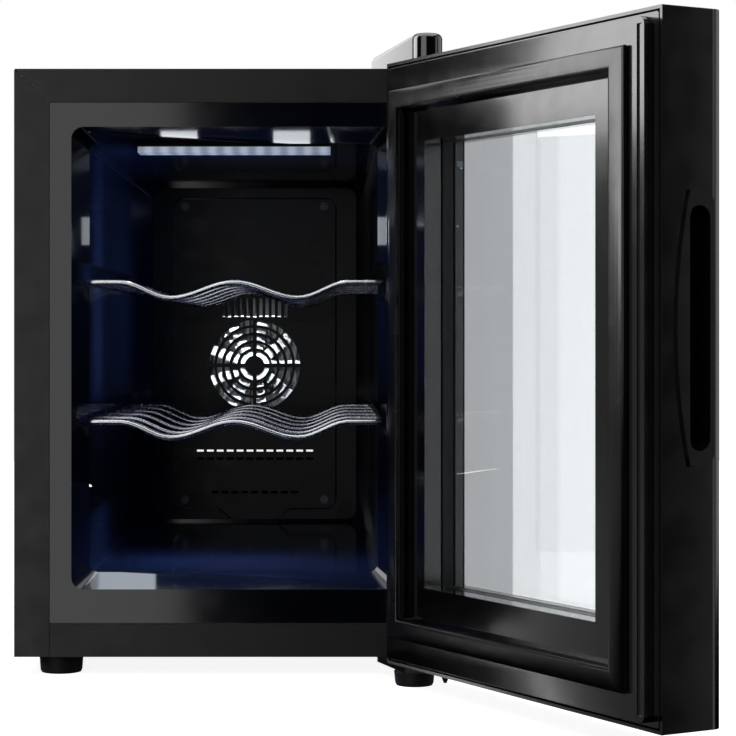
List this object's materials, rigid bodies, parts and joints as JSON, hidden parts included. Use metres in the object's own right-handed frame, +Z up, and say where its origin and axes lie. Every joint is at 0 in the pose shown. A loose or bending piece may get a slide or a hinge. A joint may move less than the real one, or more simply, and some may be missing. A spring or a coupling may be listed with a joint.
{
  "type": "wine cooler",
  "caption": "Small countertop wine cooler with a black cabinet, glazed side-hinged door standing open, wavy wire shelves and a thermoelectric unit at the back.",
  "frame": {"origin": "bottom centre of the bounding box of the whole cooler with its door open as at rest; Z = 0 is the floor under the feet", "axes": "+Z up, +Y from the front of the cabinet to its back, +X to the right of a person who faces the front"},
  "size_m": [0.3991, 0.7426, 0.3987],
  "materials": {
    "black_steel": "fine satin black paint",
    "rear_steel": "matt black paint",
    "zinc_sheet": "zinc plated",
    "zinc_screws": "zinc plated",
    "black_screws": "black oxide",
    "hinge_steel": "plated sheet",
    "bracket_steel": "black paint",
    "pin_steel": "bright turned",
    "gloss_liner": "polished black moulding",
    "cover_plastic": "fine satin moulding",
    "white_plastic": "satin",
    "black_plastic": "satin",
    "foam": "foamed, matt",
    "sink_aluminium": "extruded",
    "spacer_aluminium": "roll formed",
    "ceramic": "matt ceramic faces",
    "circuit_board": "solder mask",
    "brass_posts": "turned",
    "rubber_foot": "matt",
    "seal_rubber": "satin soft seal",
    "magnet": "bonded ferrite strip",
    "gloss_cap": "polished",
    "shelf_chrome": "polished wire",
    "door_black": "satin moulding",
    "door_core": "matt",
    "handle_plastic": "satin gloss",
    "bush_plastic": "satin",
    "clear_glass": "clear float glass",
    "tinted_glass": "grey tinted float glass",
    "black_print": "screen printed enamel",
    "display": "smoked window, unlit",
    "lens": "opal diffuser, lit",
    "led": "lit emitters"
  },
  "bodies": {
    "cabinet": {"outer_shell": "black_steel", "base_tray": "black_steel", "rear_panel": "rear_steel", "rear_panel_screws": "zinc_screws", "rear_fan_guard": "black_plastic", "inner_liner": "gloss_liner", "insulation_foam": "foam", "foam_back_plate": "zinc_sheet", "cover_frame": "cover_plastic", "fan_cover": "cover_plastic", "fan_cover_screws": "black_screws", "cold_fan_frame": "white_plastic", "cold_sink": "sink_aluminium", "spacer_block": "sink_aluminium", "peltier_module": "ceramic", "hot_sink": "sink_aluminium", "hot_fan_frame": "black_plastic", "power_board": "circuit_board", "control_board": "circuit_board", "board_posts": "brass_posts", "temperature_sensor": "black_plastic", "cable_gland": "black_plastic", "light_housing": "cover_plastic", "light_lens": "lens", "led_strip": "led", "foot_front_left": "rubber_foot", "foot_front_right": "rubber_foot", "foot_rear_left": "rubber_foot", "foot_rear_right": "rubber_foot", "top_hinge_plate": "hinge_steel", "top_hinge_pin": "pin_steel", "top_hinge_cover": "gloss_cap", "top_hinge_screws": "zinc_screws", "bottom_hinge_bracket": "bracket_steel", "bottom_hinge_pin": "pin_steel", "bottom_hinge_screws": "zinc_screws"},
    "door": {"door_outer_frame": "door_black", "door_inner_frame": "door_black", "door_foam": "foam", "door_core_plate": "door_core", "door_gasket": "seal_rubber", "gasket_magnets": "magnet", "inner_glass": "clear_glass", "glass_spacer": "spacer_aluminium", "middle_glass": "clear_glass", "outer_glass": "tinted_glass", "glass_border": "black_print", "display_board": "circuit_board", "display_window": "display", "handle_insert": "handle_plastic", "door_top_bush": "bush_plastic", "door_bottom_bush": "bush_plastic", "door_stop_lug": "bush_plastic"},
    "lower_shelf": {"lower_shelf": "shelf_chrome"},
    "upper_shelf": {"upper_shelf": "shelf_chrome"},
    "cold_fan": {"cold_fan_rotor": "white_plastic"},
    "hot_fan": {"hot_fan_rotor": "black_plastic"}
  },
  "joints": [
    {"name": "door_hinge", "type": "hinge", "parent": "cabinet", "child": "door", "pos_m": [0.05989, -0.13403, 0.1967], "axis": [0, 0, 1], "range_deg": [-118.8, 0]},
    {"name": "lower_shelf_slide", "type": "slide", "parent": "cabinet", "child": "lower_shelf", "axis": [0, -1, 0], "range_m": [0, 0.24]},
    {"name": "upper_shelf_slide", "type": "slide", "parent": "cabinet", "child": "upper_shelf", "axis": [0, -1, 0], "range_m": [0, 0.24]},
    {"name": "cold_fan_spin", "type": "hinge", "parent": "cabinet", "child": "cold_fan", "pos_m": [-0.06201, 0.28677, 0.1897], "axis": [0, 1, 0], "continuous": true},
    {"name": "hot_fan_spin", "type": "hinge", "parent": "cabinet", "child": "hot_fan", "pos_m": [-0.06201, 0.35877, 0.1897], "axis": [0, 1, 0], "continuous": true}
  ]
}
